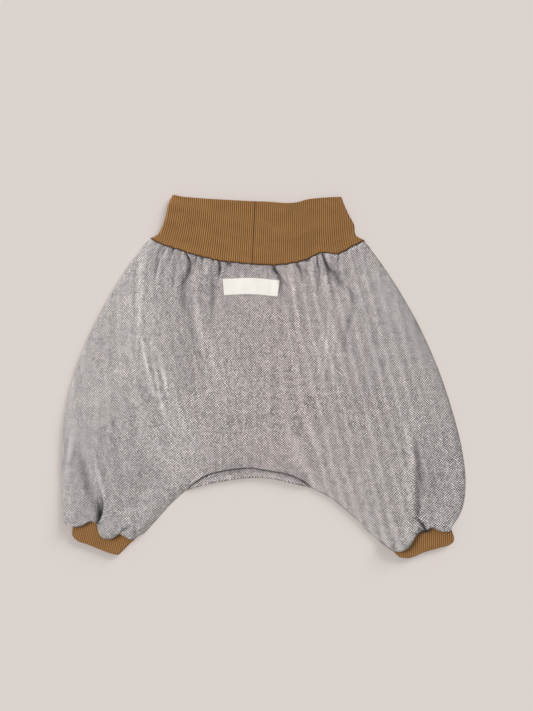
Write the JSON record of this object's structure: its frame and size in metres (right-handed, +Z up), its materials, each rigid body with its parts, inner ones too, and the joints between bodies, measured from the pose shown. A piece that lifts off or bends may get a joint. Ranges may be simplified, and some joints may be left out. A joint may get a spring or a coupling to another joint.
{
  "type": "baby's knickerbockers, laid flat",
  "caption": "Baby's gathered knickerbockers in woven cloth, laid flat, with a rib-knit waistband, rib-knit leg cuffs and a bare sewn-on label.",
  "frame": {"origin": "the middle of the whole garment's outline, on the surface that it lies on", "axes": "+Z up from the surface; +Y from the legs to the waist; +X to the right, seen from above"},
  "size_m": [0.3624, 0.3266, 0.0102],
  "materials": {
    "woven": "fine grey and ecru twill, soft and matt",
    "rib": "camel-brown rib knit, matt",
    "label": "cream woven label, bare"
  },
  "bodies": {
    "root": {"front_panel": "woven", "back_panel": "woven", "waistband": "rib", "cuff_left": "rib", "cuff_right": "rib", "label": "label"}
  },
  "joints": []
}
